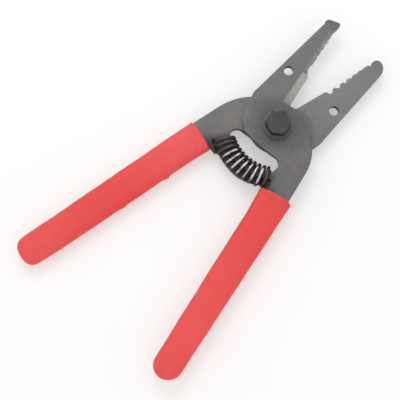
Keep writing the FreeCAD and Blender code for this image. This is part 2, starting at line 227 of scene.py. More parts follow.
def ground_steel(tree, grey, lever, v):
    """Bare steel with grinding lines across the edge, about 0.3 mm apart, and dirty at its near end."""
    across = add_node(tree, "Mapping", inputs={"Vector": lever, "Scale": (0.3, 3.3, 0.3)}).outputs[0]
    lines = add_node(tree, "TexNoise", inputs={"Vector": across, "Scale": 1.0, "Detail": 2}).outputs["Fac"]
    ground_shade = add_node(
        tree,
        "MapRange",
        inputs={"Value": lines, "From Min": 0.3, "From Max": 0.7, "To Min": 0.86, "To Max": 1.08},
    ).outputs[0]
    bare = add_node(
        tree, "Mix", SHADE, {"Factor": 1.0, 6: linear(GROUND_STEEL), 7: ground_shade}
    ).outputs[2]
    dirty_end = add_node(
        tree, "MapRange", inputs={"Value": v, "From Min": 9, "From Max": 17, "To Min": 0.55, "To Max": 0}
    ).outputs[0]
    return add_node(tree, "Mix", BLEND, {"Factor": dirty_end, 6: bare, 7: grey}).outputs[2]


def blackened_plate(name, turn, jaw_grey, tip_shade, pocket_end, edge, edge_slope, jaw_side, wear, worn_to):
    """Blackened rolled steel with ground edges. The masks are made in the lever's own frame, in mm, with
    u across it and v along it from the pivot: the jaw lies on `jaw_side` of its edge, which runs along
    u = edge + edge_slope v and is worn by `wear`."""
    material, tree = new_material(name)
    place = add_node(tree, "TexCoord")
    lever = add_node(
        tree,
        "Mapping",
        inputs={"Vector": place.outputs["Object"], "Rotation": (0, 0, -turn), "Scale": IN_MM},
    ).outputs[0]
    axes = add_node(tree, "SeparateXYZ", inputs={0: lever})
    u, v = axes.outputs["X"], axes.outputs["Y"]
    in_plane = add_node(tree, "CombineXYZ", inputs={0: u, 1: v}).outputs[0]
    from_pivot = add_node(tree, "VectorMath", {"operation": "LENGTH"}, {0: in_plane}).outputs["Value"]

    # Patterns: clouds of 10 mm, spots of 3 mm, and rolling grain along the lever with lines about
    # 0.4 mm apart, drawn coarser than the real ones
    clouds = add_node(
        tree, "TexNoise", inputs={"Vector": lever, "Scale": 0.11, "Detail": 3, "Roughness": 0.55}
    ).outputs["Fac"]
    spots = add_node(
        tree, "TexNoise", inputs={"Vector": lever, "Scale": 0.42, "Detail": 4, "Roughness": 0.6}
    ).outputs["Fac"]
    stretched = add_node(tree, "Mapping", inputs={"Vector": lever, "Scale": (2.6, 0.12, 2.6)}).outputs[0]
    grain = add_node(
        tree, "TexNoise", inputs={"Vector": stretched, "Scale": 1.0, "Detail": 3}
    ).outputs["Fac"]

    grey = blackening(tree, v, clouds, jaw_grey)
    grey = oil_round_pivot(tree, grey, from_pivot, clouds)
    # Painted shade in the spring's pocket, where the coils shade the plate and fingers
    grey = shade_in_pocket(tree, grey, u, v, from_pivot, spots, pocket_end)
    grey = turning_rings(tree, grey, from_pivot)
    at_tip = add_node(
        tree, "MapRange", inputs={"Value": v, "From Min": 46.0, "From Max": 50.5, "To Max": tip_shade}
    ).outputs[0]
    grey = add_node(tree, "Mix", BLEND, {"Factor": at_tip, 6: grey, 7: linear(TIP_GREY)}).outputs[2]
    grey = rolled_skin(tree, grey, grain, spots)
    grey = worn_edge(tree, grey, lever, u, v, edge, edge_slope, jaw_side, wear, worn_to)

    # The rims are rubbed a little brighter in places, and the jaw's bevels are ground bare
    leaning = leaning_steel(tree, place.outputs["Normal"])
    rubbed = add_node(
        tree, "MapRange", inputs={"Value": spots, "From Min": 0.35, "From Max": 0.65, "To Max": 0.4}
    ).outputs[0]
    rim = add_node(tree, "Math", {"operation": "MULTIPLY"}, {0: leaning, 1: rubbed}).outputs[0]
    in_jaw = add_node(tree, "MapRange", inputs={"Value": v, "From Min": 8.8, "From Max": 9.6}).outputs[0]
    ground = add_node(tree, "Math", {"operation": "MULTIPLY"}, {0: leaning, 1: in_jaw}).outputs[0]
    bare = ground_steel(tree, grey, lever, v)
    colour = add_node(tree, "Mix", BLEND, {"Factor": rim, 6: grey, 7: linear(RUBBED_RIM)}).outputs[2]
    colour = add_node(tree, "Mix", BLEND, {"Factor": ground, 6: colour, 7: bare}).outputs[2]

    dullness = add_node(
        tree,
        "MapRange",
        inputs={"Value": spots, "From Min": 0.3, "From Max": 0.7, "To Min": 0.4, "To Max": 0.52},
    ).outputs[0]
    roughness = add_node(tree, "Mix", inputs={"Factor": ground, "A": dullness, "B": 0.34}).outputs[0]
    pits = add_node(tree, "TexNoise", inputs={"Vector": lever, "Scale": 3.2, "Detail": 3}).outputs["Fac"]
    relief = add_node(tree, "Math", {"operation": "MULTIPLY_ADD"}, {0: grain, 1: 0.6, 2: pits}).outputs[0]
    bump = add_node(
        tree, "Bump", inputs={"Height": relief, "Strength": 0.35, "Distance": 0.03 * MM}
    ).outputs[0]
    shader = add_node(
        tree,
        "BsdfPrincipled",
        inputs={"Base Color": colour, "Metallic": 1.0, "Roughness": roughness, "Normal": bump},
    )
    add_node(tree, "OutputMaterial", inputs={"Surface": shader.outputs[0]})
    return material


lower_steel = blackened_plate(
    "blackened_lower",
    -OPEN_HALF_ANGLE,
    LOWER_JAW_GREY,
    tip_shade=0.25,
    pocket_end=31,
    edge=0.2,
    edge_slope=-0.0425,
    jaw_side=1,
    wear=0.5,
    worn_to=38,
)
upper_steel = blackened_plate(
    "blackened_upper",
    OPEN_HALF_ANGLE,
    UPPER_JAW_GREY,
    tip_shade=0.8,
    pocket_end=32,
    edge=-1.97,
    edge_slope=0.056,
    jaw_side=-1,
    wear=0.7,
    worn_to=46,
)
for lever_name, steel in (("lower_lever", lower_steel), ("upper_lever", upper_steel)):
    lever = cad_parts[lever_name]
    lever.data.materials.clear()
    lever.data.materials.append(steel)
    weld = lever.modifiers.new("join_faces", "WELD")
    weld.merge_threshold = 1e-6
    rims = lever.modifiers.new("tumbled_rims", "BEVEL")
    rims.width = RIM_RADIUS * MM
    rims.segments = 2
    rims.limit_method = "ANGLE"
    rims.angle_limit = math.radians(50)
    rims.use_clamp_overlap = True

# Pivot bolt, nut and washers: small cold-headed steel hardware, blackened and oily, darker than
# the plates. The head's corners are chamfered by a cone, as on every turned hexagon, and the nut
# is the same turned over, with the bolt's threaded end just proud of it.

ACROSS_FLATS = 9.5
HEXAGON_TURN = math.radians(40)
HEXAGON_SHARPNESS = 70
CORNER_RADIUS = ACROSS_FLATS / 2 / math.cos(math.radians(30)) + 0.1
CONE_RADIUS = ACROSS_FLATS / 2 - 0.2
CONE_SLOPE = 1.732
CONE_DROP = 0.62
NUT_LOW = 0.4
NUT_HIGH = 2.8
HEAD_LOW = 9.85
HEAD_HIGH = 13.85
SHANK_RADIUS = 3.0
THREAD_RADIUS = 2.84
THREAD_PITCH = 1.0
THREAD_DEPTH = 0.14
NUT_BORE = 2.9
WASHER_BORE = 3.15
ROUND, SIX_SIDED = 0, 1
BOLT_BLACK = "#454545"
BOLT_WEAR = "#6d6d6e"
WASHER_GREY = "#5f5e60"
WASHER_WEAR = "#8a898a"


def hexagon_reach(angle):
    """How far a hexagon's side is from its axis at an angle: half the width across flats over the
    cosine of the angle to the flat, with the six flats joined softly so that corners are rounded."""
    to_flat = angle[:, None] - (HEXAGON_TURN + math.radians(30) + np.arange(6) * math.radians(60))[None, :]
    near = np.maximum(np.cos(to_flat), 0) ** HEXAGON_SHARPNESS
    return ACROSS_FLATS / 2 / near.sum(1) ** (1 / HEXAGON_SHARPNESS)


def surface_mesh(name, points, closed_along=False):
    """A mesh over a grid of points in mm, rows along the piece and columns round it. Doubled points
    at poles and seams are merged, and the normals are then made to point outwards."""
    rows, columns = points.shape[:2]
    mesh = bpy.data.meshes.new(name)
    number = np.arange(rows * columns).reshape(rows, columns)
    if closed_along:
        number = np.vstack([number, number[:1]])
    right = np.roll(number, -1, axis=1)
    faces = np.stack([number[:-1], right[:-1], right[1:], number[1:]], axis=-1).reshape(-1, 4)
    mesh.from_pydata((points.reshape(-1, 3) * MM).tolist(), [], faces.tolist())
    work = bmesh.new()
    work.from_mesh(mesh)
    bmesh.ops.remove_doubles(work, verts=work.verts, dist=1e-7)
    bmesh.ops.recalc_face_normals(work, faces=work.faces)
    work.to_mesh(mesh)
    work.free()
    mesh.polygons.foreach_set("use_smooth", np.ones(len(mesh.polygons), bool))
    piece = bpy.data.objects.new(name, mesh)
    bpy.context.collection.objects.link(piece)
    return piece


def turned_piece(name, rings, thread=None, closed_along=False):
    """Rings of (radius, height, round or six-sided) carried round the pivot. A six-sided ring is cut off
    at the hexagon's reach, and a thread is a triangle wave in angle and height taken off the radius."""
    angle = HEXAGON_TURN + np.radians(np.arange(0, 360, 2.5))
    radius, height, six = (np.array(column, float)[:, None] for column in zip(*rings))
    reach = np.where(six > 0, np.minimum(radius, hexagon_reach(angle)[None, :]), radius)
    if thread:
        low, high, depth, pitch = thread
        wave = np.abs((angle[None, :] / (2 * math.pi) - height / pitch) % 1 - 0.5) * 2
        reach = reach - np.where((height > low) & (height < high), depth * wave, 0)
    points = np.stack([reach * np.cos(angle), reach * np.sin(angle), height + 0 * angle], axis=-1)
    return surface_mesh(name, points, closed_along)


def washer_rings(inner, outer, low, thick, edge):
    """A flat ring's section with its four corners rounded by quarter circles of radius `edge`."""
    rings = []
    corners = [(outer - edge, low + edge, -90), (outer - edge, low + thick - edge, 0)]
    corners += [(inner + edge, low + thick - edge, 90), (inner + edge, low + edge, 180)]
    for radius, height, start in corners:
        for turn in np.radians(start + np.linspace(0, 90, 5)):
            rings.append((radius + edge * math.cos(turn), height + edge * math.sin(turn), ROUND))
    return rings


def split_ring(name, rings, gap_at, gap):
    """A section carried round the pivot from one side of a gap, in degrees, to the other, and shrunk to
    its middle at both ends, which caps them."""
    section = np.array([ring[:2] for ring in rings])
    middle = section.mean(0)
    steps = 110
    shrink = np.r_[0, np.ones(steps), 0][:, None, None]
    angle = np.radians(gap_at + gap / 2 + np.linspace(0, 360 - gap, steps))
    angle = np.r_[angle[0], angle, angle[-1]][:, None]
    section = middle + (section - middle)[None] * shrink
    points = np.stack(
        [section[..., 0] * np.cos(angle), section[..., 0] * np.sin(angle), section[..., 1]], axis=-1
    )
    return surface_mesh(name, points)


def soften_corners(piece, degrees=28):
    """Splits the shading at the piece's sharp edges only."""
    piece.data.set_sharp_from_angle(angle=math.radians(degrees))


def black_hardware(name, dark, worn_grey):
    """Blackened cold-headed steel, oily, with the finish rubbed thin in 2 mm patches on a 0.4 mm grain."""
    material, tree = new_material(name)
    place = add_node(tree, "TexCoord").outputs["Object"]
    cloud = add_node(
        tree, "TexNoise", inputs={"Vector": place, "Scale": 0.45 / MM, "Detail": 4}
    ).outputs["Fac"]
    fine = add_node(
        tree, "TexNoise", inputs={"Vector": place, "Scale": 2.5 / MM, "Detail": 3}
    ).outputs["Fac"]
    worn = add_node(
        tree, "MapRange", inputs={"Value": cloud, "From Min": 0.5, "From Max": 0.78, "To Max": 0.55}
    ).outputs[0]
    colour = add_node(
        tree, "Mix", BLEND, {"Factor": worn, 6: linear(dark), 7: linear(worn_grey)}
    ).outputs[2]
    roughness = add_node(
        tree,
        "MapRange",
        inputs={"Value": cloud, "From Min": 0.3, "From Max": 0.7, "To Min": 0.36, "To Max": 0.5},
    ).outputs[0]
    bump = add_node(
        tree, "Bump", inputs={"Height": fine, "Strength": 0.3, "Distance": 0.02 * MM}
    ).outputs[0]
    shader = add_node(
        tree,
        "BsdfPrincipled",
        inputs={"Base Color": colour, "Metallic": 0.6, "Roughness": roughness, "Normal": bump},
    )
    add_node(tree, "OutputMaterial", inputs={"Surface": shader.outputs[0]})
    return material


# Fourteen rings down the chamfer draw the curved line where its cone meets each flat
chamfer = [(CONE_RADIUS + CONE_SLOPE * drop, drop) for drop in np.linspace(0, CONE_DROP, 14)]

# The bolt from its end up: thread, shank, bearing face, head, chamfer and a slightly dished top
bolt_rings = [(0, 0, ROUND), (1.3, 0, ROUND), (2.35, 0, ROUND), (2.5, 0.04, ROUND)]
bolt_rings += [(THREAD_RADIUS, height, ROUND) for height in np.arange(0.3, NUT_HIGH, 0.08)]
bolt_rings += [(SHANK_RADIUS, NUT_HIGH, ROUND), (SHANK_RADIUS, HEAD_LOW, ROUND), (4.3, HEAD_LOW, ROUND)]
bolt_rings += [(CORNER_RADIUS, HEAD_LOW + 0.02, SIX_SIDED)]
bolt_rings += [
    (CORNER_RADIUS, height, SIX_SIDED) for height in np.linspace(HEAD_LOW + 0.12, HEAD_HIGH - 0.7, 6)
]
bolt_rings += [(radius, HEAD_HIGH - drop, SIX_SIDED) for radius, drop in reversed(chamfer)]
bolt_rings += [(CONE_RADIUS - 0.12, HEAD_HIGH, SIX_SIDED), (CONE_RADIUS - 0.9, HEAD_HIGH - 0.04, ROUND)]
bolt_rings += [(2.0, HEAD_HIGH - 0.06, ROUND), (0, HEAD_HIGH - 0.06, ROUND)]
bolt = turned_piece("hex_bolt", bolt_rings, thread=(0.2, NUT_HIGH, THREAD_DEPTH, THREAD_PITCH))

# The nut from its bore's lower edge, round the outside and back in at the top
nut_rings = [(NUT_BORE, NUT_LOW + 0.35, ROUND), (NUT_BORE + 0.35, NUT_LOW, ROUND)]
nut_rings += [(radius, NUT_LOW + drop, SIX_SIDED) for radius, drop in chamfer]
nut_rings += [
    (CORNER_RADIUS, height, SIX_SIDED) for height in np.linspace(NUT_LOW + 0.75, NUT_HIGH - 0.05, 5)
]
nut_rings += [(CORNER_RADIUS - 0.1, NUT_HIGH, SIX_SIDED), (NUT_BORE + 0.35, NUT_HIGH, ROUND)]
nut_rings += [(NUT_BORE, NUT_HIGH - 0.35, ROUND)]
nut = turned_piece("hex_nut", nut_rings, closed_along=True)

flat_rings = washer_rings(WASHER_BORE, outer=6.2, low=HEAD_LOW - 0.6, thick=0.6, edge=0.14)
flat_washer = turned_piece("flat_washer", flat_rings, closed_along=True)

# The spring washer is split: its ring is left open over 9 degrees
split_rings = washer_rings(WASHER_BORE, outer=4.9, low=NUT_HIGH, thick=0.4, edge=0.08)
split_washer = split_ring("split_washer", split_rings, gap_at=250.1, gap=9)

oily_black = black_hardware("oily_black_steel", BOLT_BLACK, BOLT_WEAR)
rubbed_black = black_hardware("rubbed_washer_steel", WASHER_GREY, WASHER_WEAR)
hardware = [
    (bolt, "pivot_bolt", oily_black),
    (nut, "pivot_nut", oily_black),
    (flat_washer, "head_washer", rubbed_black),
    (split_washer, "spring_washer", rubbed_black),
]
for piece, node_name, finish in hardware:
    piece.data.materials.append(finish)
    soften_corners(piece)
    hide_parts(node_name)
    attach(piece, "lower_half")

# Return spring: eleven turns of music wire, coiled straight and bent round the pivot when it is
# pushed over the levers' two fingers, so that its first coils close up in the lower lever's pocket.
# It is oil-black, with a painted highlight along the upper crests of its open coils.

SPRING_PATH = 22.15
SPRING_DRIFT = 0.5
COIL_RADIUS = 4.139
WIRE_RADIUS = 0.73
SPRING_TURNS = 11.0
SPRING_MIDDLE = 6.225
FIRST_ANGLE = math.radians(-31.78)
LAST_ANGLE = math.radians(34.08)
WIRE_DARK = "#554e51"
# The next colour is a painted highlight for the coils' crests
WIRE_HIGHLIGHT = "#d3cdcb"


def along_arc(turns):
    """How far the wire has gone along the arc: one step a turn, less 0.8 of a step in the first turns
    and 0.42 in the last ones, by exponentials that die out over 1.6 and 0.6 turns."""
    start = 0.8 * (1 - np.exp(-turns / 1.6))
    end = 0.42 * (np.exp((turns - SPRING_TURNS) / 0.6) - math.exp(-SPRING_TURNS / 0.6))
    return turns - start - end


def coil_line(turns):
    """Points of a coil whose own axis is an arc about the pivot: on the arc, outwards by the coil's
    radius times the cosine of the turn's angle, and up by its radius times the sine. The arc drifts
    out by the square of what is left of it towards the first coil."""
    share = along_arc(turns) / along_arc(np.array([SPRING_TURNS]))
    angle = FIRST_ANGLE + (LAST_ANGLE - FIRST_ANGLE) * share
    around = 2 * math.pi * turns
    reach = SPRING_PATH + SPRING_DRIFT * (1 - share) ** 2 + COIL_RADIUS * np.cos(around)
    height = SPRING_MIDDLE + COIL_RADIUS * np.sin(around)
    line = [reach * np.sin(angle), -reach * np.cos(angle), height]
    outward = [np.cos(around) * np.sin(angle), -np.cos(around) * np.cos(angle), np.sin(around)]
    return np.stack(line, -1), np.stack(outward, -1)


def unit(vectors):
    """Each vector at length one."""
    return vectors / np.linalg.norm(vectors, axis=-1, keepdims=True)


def tube(name, line, outward, radius, sides=14):
    """A round wire along a line: at each point a circle in the plane of the outward direction and the
    direction across it. The ends are closed by a domed point."""
    along = unit(np.gradient(line, axis=0))
    across = unit(np.cross(along, outward))
    outward = unit(np.cross(across, along))
    side = np.arange(sides) * 2 * math.pi / sides
    radii = np.full(len(line), radius)
    radii[[0, -1]] = 0
    radii[[1, -2]] = radius * 0.8
    rim = np.cos(side)[None, :, None] * outward[:, None] + np.sin(side)[None, :, None] * across[:, None]
    piece = surface_mesh(name, line[:, None] + radii[:, None, None] * rim)
    return piece, outward


def paint_crest_highlights(piece, turns, line, crest):
    """Keeps in the attribute `crest` how far each vertex faces out of the coil, 1 on the crest and -1
    inside, on the upper and outer side of the open coils only, where the painted highlight goes."""
    points = np.empty(len(piece.data.vertices) * 3)
    piece.data.vertices.foreach_get("co", points)
    points = points.reshape(-1, 3) / MM
    nearest = np.linalg.norm(points[:, None] - line[None], axis=-1).argmin(1)
    facing = ((points - line[nearest]) * crest[nearest]).sum(1) / WIRE_RADIUS

    # The open coils are the fourth to the tenth, and each gets the painted highlight from 35 to 115 degrees
    # of its turn
    open_coils = np.interp(turns[nearest], [2.2, 3.0, SPRING_TURNS - 1.2, SPRING_TURNS - 0.8], [0, 1, 1, 0])
    part_turn = np.degrees(2 * math.pi * turns[nearest]) % 360
    highlight_side = np.interp(part_turn, [12, 35, 115, 150], [0, 1, 1, 0])
    # This mask places the painted highlight on the wire
    attribute = piece.data.attributes.new("crest", "FLOAT", "POINT")
    attribute.data.foreach_set("value", facing * open_coils * highlight_side)


def music_wire():
    """Oil-black spring wire, drawn smooth, with a painted highlight on its marked crests, in 3 mm patches.
    """
    material, tree = new_material("spring_wire_painted_highlight")
    place = add_node(tree, "TexCoord").outputs["Object"]
    crest = add_node(tree, "Attribute", {"attribute_name": "crest"}).outputs["Fac"]
    patches = add_node(
        tree, "TexNoise", inputs={"Vector": place, "Scale": 0.35 / MM, "Detail": 3}
    ).outputs["Fac"]
    ragged = add_node(tree, "Math", {"operation": "ADD"}, {0: patches, 1: crest}).outputs[0]
    # Painted highlight where the crest mask and the patches add up
    bright = add_node(
        tree, "MapRange", inputs={"Value": ragged, "From Min": 1.24, "From Max": 1.46}
    ).outputs[0]
    colour = add_node(
        tree, "Mix", BLEND, {"Factor": bright, 6: linear(WIRE_DARK), 7: linear(WIRE_HIGHLIGHT)}
    ).outputs[2]
    draw_marks = add_node(
        tree, "TexNoise", inputs={"Vector": place, "Scale": 4 / MM, "Detail": 2}
    ).outputs["Fac"]
    bump = add_node(
        tree, "Bump", inputs={"Height": draw_marks, "Strength": 0.15, "Distance": 0.02 * MM}
    ).outputs[0]
    shader = add_node(
        tree,
        "BsdfPrincipled",
        inputs={"Base Color": colour, "Metallic": 0.75, "Roughness": 0.36, "Normal": bump},
    )
    add_node(tree, "OutputMaterial", inputs={"Surface": shader.outputs[0]})
    return material


wire_turns = np.linspace(0, SPRING_TURNS, 481)
wire_line, wire_outward = coil_line(wire_turns)
spring, wire_crest = tube("return_coil", wire_line, wire_outward, WIRE_RADIUS)
paint_crest_highlights(spring, wire_turns, wire_line, wire_crest)
spring.data.materials.append(music_wire())
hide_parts("return_spring")
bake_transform(spring)

# Painted shade: thin dark lenses stand in for the shade round the spring's first and last coils,
# between the seat, the finger and the lip, and thinly between its open coils. Each is a lens that
# starts on its lever's seat, and the one between the coils is pressed together with them.

# Colours of the painted shade lenses
SHADE_LENS_DARK = "#484143"
SHADE_LENS_MOTTLE = "#5a5254"
LOWER_SEAT = -34.1
UPPER_SEAT = 36.4


def dark_shade_lens(name, seat, span, inner, outer, low, high):
    """A lens from the seat's angle along the arc: at each angle an ellipse between two radii and two
    heights, which narrows by the square root of what is left of the span, with ragged sides."""
    share = (1 - np.cos(np.linspace(0, math.pi, 40))) / 2
    round_section = np.linspace(0, 2 * math.pi, 48, endpoint=False)[None, :]
    left = np.sqrt(np.clip(1 - share ** 2, 0, 1)) * np.minimum(1, share / 0.02)
    angle = math.radians(seat) + math.radians(span) * share
    half = ((outer - inner) / 2 * left)[:, None]
    ragged = 1 + 0.05 * np.sin(9 * share + 2)[:, None] * np.cos(3 * round_section)
    middle = (outer + inner) / 2 + 0.9 * share[:, None]
    reach = middle + half * ragged * np.sign(np.cos(round_section)) * np.abs(np.cos(round_section)) ** 0.6
    thick = ((high - low) / 2 * left)[:, None]
    height = (high + low) / 2 + thick * np.sin(round_section)
    bent = angle[:, None] + 0.04 * left[:, None] * np.sin(1.3 * reach) * share[:, None]
    return surface_mesh(name, np.stack([reach * np.sin(bent), -reach * np.cos(bent), height], -1))


def painted_shade_finish():
    """Painted shade for the dark lenses: matt, brown-black, lighter in 2 mm clouds."""
    material, tree = new_material("painted_shade_finish")
    place = add_node(tree, "TexCoord").outputs["Object"]
    lens_noise = add_node(
        tree, "TexNoise", inputs={"Vector": place, "Scale": 0.5 / MM, "Detail": 4}
    ).outputs["Fac"]
    lens_mottle = add_node(tree, "MapRange", inputs={"Value": lens_noise, "From Min": 0.4, "From Max": 0.7}).outputs[0]
    brown = add_node(
        tree, "Mix", BLEND, {"Factor": lens_mottle, 6: linear(SHADE_LENS_DARK), 7: linear(SHADE_LENS_MOTTLE)}
    ).outputs[2]
    bump = add_node(tree, "Bump", inputs={"Height": lens_noise, "Strength": 0.5, "Distance": 0.1 * MM}).outputs[0]
    shader = add_node(
        tree,
        "BsdfPrincipled",
        inputs={"Base Color": brown, "Roughness": 0.6, "Normal": bump},
    )
    add_node(tree, "OutputMaterial", inputs={"Surface": shader.outputs[0]})
    return material


# Painted shade: dark lenses at the spring's ends and between its coils
lower_pad = dark_shade_lens("lower_shade_lens", LOWER_SEAT, span=17.0, inner=18.6, outer=28.6, low=3.4, high=4.6)
upper_pad = dark_shade_lens("upper_shade_lens", UPPER_SEAT, span=-6.0, inner=18.8, outer=28.2, low=6.5, high=7.5)
coil_pad = dark_shade_lens("coil_shade_lens", LOWER_SEAT, span=68.5, inner=19.0, outer=27.0, low=3.5, high=4.3)
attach(lower_pad, "lower_half")
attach(upper_pad, "upper_half")
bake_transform(coil_pad)
shade_finish = painted_shade_finish()
for pad in (lower_pad, upper_pad, coil_pad):
    pad.data.materials.append(shade_finish)

# Grips: each handle is dipped hot in red vinyl, which sets as one soft satin skin about 1.5 mm thick.
# It is rounded all over, a little uneven in width, full at the end, and rolls in at the mouth. Two
# small runs are left on the lower grip's inner edge.

VINYL_RED = "#ef4b40"
VINYL_PINK = "#f35150"
VINYL_ROSE = "#f25154"
VINYL_RICH = "#ec3d38"
VINYL_DEEP = "#cc3836"
GRIP_HALF_THICK = 3.1
HANDLE_HALF_THICK = 1.56
HANDLE_CLEARANCE = 0.05
LIP = 0.5
MOUTH_FADE = 5
THIN_END_LENGTH = 3.4
THIN_END_POWER = 2.3
GRIP_SIDES = 64

# Edges as (v, u) in the lever's own frame: the grips' outsides, and the handles inside them
UPPER_LEFT = [(-27.0, 6.95), (-40, 7.0), (-60, 6.15), (-100, 4.95), (-106.85, 4.8)]
UPPER_RIGHT = [(-27.3, 21.25), (-40, 20.55), (-100, 17.25), (-106.85, 16.9)]
UPPER_HANDLE_LEFT = [(-20, 8.6), (-40, 8.35), (-98, 6.35), (-112, 6.2)]
UPPER_HANDLE_RIGHT = [(-20, 19.8), (-106.5, 15.6), (-112, 15.5)]
LOWER_LEFT = [(-29.6, -20.75), (-40, -20.25), (-100, -17.3), (-112.6, -16.8)]
LOWER_RIGHT = [(-29.1, -6.8), (-40, -6.85), (-60, -5.9), (-100, -4.3), (-112.8, -4.15)]
LOWER_HANDLE_LEFT = [(-20, -19.95), (-111.8, -15.8), (-118, -15.7)]
LOWER_HANDLE_RIGHT = [(-20, -8.35), (-41, -8.1), (-103, -5.7), (-118, -5.6)]


def smooth_edge(v, table):
    """An edge's u at each v: straight runs between the table's points, averaged over 9 mm."""
    at, u = (np.array(column, float) for column in zip(*sorted(table)))
    window = np.linspace(-4.5, 4.5, 13)
    weight = np.hanning(15)[1:-1]
    near = v[:, None] + window[None, :]
    values = np.interp(near, at, u)
    low_slope = (u[1] - u[0]) / (at[1] - at[0])
    high_slope = (u[-1] - u[-2]) / (at[-1] - at[-2])
    values = np.where(near < at[0], u[0] + low_slope * (near - at[0]), values)
    values = np.where(near > at[-1], u[-1] + high_slope * (near - at[-1]), values)
    return (values * weight).sum(1) / weight.sum()


def straight_edge(v, table):
    """An edge's u at each v: straight runs between the table's points."""
    at, u = (np.array(column, float) for column in zip(*sorted(table)))
    return np.interp(v, at, u)


def grip_outside(turn, middle, left, right, tip, end_length, end_power, mouth, bow, slant, runs):
    """Sections down the handle from the mouth to the tip, each |x/w| to the 4 plus |z/h| to the 2.5
    equal to one: the mouth rolls in by a quarter circle, and the end closes to a pole by a
    superellipse. A run of vinyl pushes the right edge out by a bell curve, steeper towards the mouth."""
    angle = np.arange(GRIP_SIDES) * 2 * math.pi / GRIP_SIDES
    cosine, sine = np.cos(angle), np.sin(angle)
    across = np.sign(cosine) * np.abs(cosine) ** 0.5
    upward = np.sign(sine) * np.abs(sine) ** 0.8
    roll = np.radians(np.linspace(90, 0, 6))
    body = np.linspace(mouth - LIP - 0.6, tip + end_length, 120)
    cap = tip + end_length * (1 - np.sin(np.radians(np.linspace(0, 90, 20))))[1:]
    v = np.r_[mouth - LIP * (1 - np.sin(roll)), body, cap]
    inset = np.r_[LIP * (1 - np.cos(roll)), np.zeros(len(body) + len(cap))]
    u_left = smooth_edge(v, left)
    u_right = smooth_edge(v, right)
    for at, size in runs:
        width = np.where(v > at, 0.8, 1.6)
        u_right = u_right + size * np.exp(-(((v - at) / width) ** 2))

    # The edges waver by less than a tenth of a millimetre
    wave = 0.05 * np.sin(v * 0.31 + 1.7 * turn) + 0.025 * np.sin(v * 0.83 + 2.0)
    u_left, u_right = u_left + wave, u_right - 0.7 * wave
    to_end = np.clip((v - tip) / end_length, 0, 1)
    width = (1 - (1 - to_end) ** end_power) ** (1 / end_power)
    to_thin_end = np.clip((v - tip) / THIN_END_LENGTH, 0, 1)
    thick = (1 - (1 - to_thin_end) ** THIN_END_POWER) ** (1 / THIN_END_POWER)
    half = ((u_right - u_left) / 2) * width - inset
    centre = (u_left + u_right) / 2
    high = GRIP_HALF_THICK * thick - inset
    near = np.exp(-np.maximum(mouth - v, 0) / MOUTH_FADE)[:, None]
    return np.stack(
        [
            centre[:, None] + half[:, None] * across,
            v[:, None] + near * (bow * (1 - across ** 2) + slant * across),
            middle + high[:, None] * upward,
        ],
        -1,
    )


def grip_inside(middle, left, right, tip, mouth, bow, slant):
    """The skin's inner wall from the mouth to the handle's end: near-rectangles a hair larger than the
    handle, which close to a pole."""
    angle = np.arange(GRIP_SIDES) * 2 * math.pi / GRIP_SIDES
    square_x = np.clip(1.38 * np.cos(angle), -1, 1)
    square_z = np.clip(1.38 * np.sin(angle), -1, 1)
    v = np.r_[mouth, np.linspace(mouth - 1.5, tip + 5, 12), tip + 1.8, tip + 1.6]
    close = np.r_[np.ones(13), 0.6, 0.0]
    u_left = straight_edge(v, left) - HANDLE_CLEARANCE
    u_right = straight_edge(v, right) + HANDLE_CLEARANCE
    near = np.exp(-np.maximum(mouth - v, 0) / MOUTH_FADE)[:, None]
    return np.stack(
        [
            ((u_left + u_right) / 2)[:, None] + ((u_right - u_left) / 2 * close)[:, None] * square_x,
            v[:, None] + near * (bow * (1 - square_x ** 2) + slant * square_x),
            middle + (HANDLE_HALF_THICK * close)[:, None] * square_z,
        ],
        -1,
    )


def dipped_grip(name, turn, middle, outside, handle, tip, end_length, end_power, mouth, bow, slant, runs):
    """A dipped sleeve: its inner and outer walls joined at the mouth, in the lever's frame, then turned
    with the lever about the pivot."""
    inside = grip_inside(middle, *handle, tip, mouth, bow, slant)
    skin = grip_outside(turn, middle, *outside, tip, end_length, end_power, mouth, bow, slant, runs)
    points = np.concatenate([inside[::-1], skin])
    cosine, sine = math.cos(turn), math.sin(turn)
    x, y, height = points[..., 0], points[..., 1], points[..., 2]
    return surface_mesh(name, np.stack([x * cosine - y * sine, x * sine + y * cosine, height], -1))


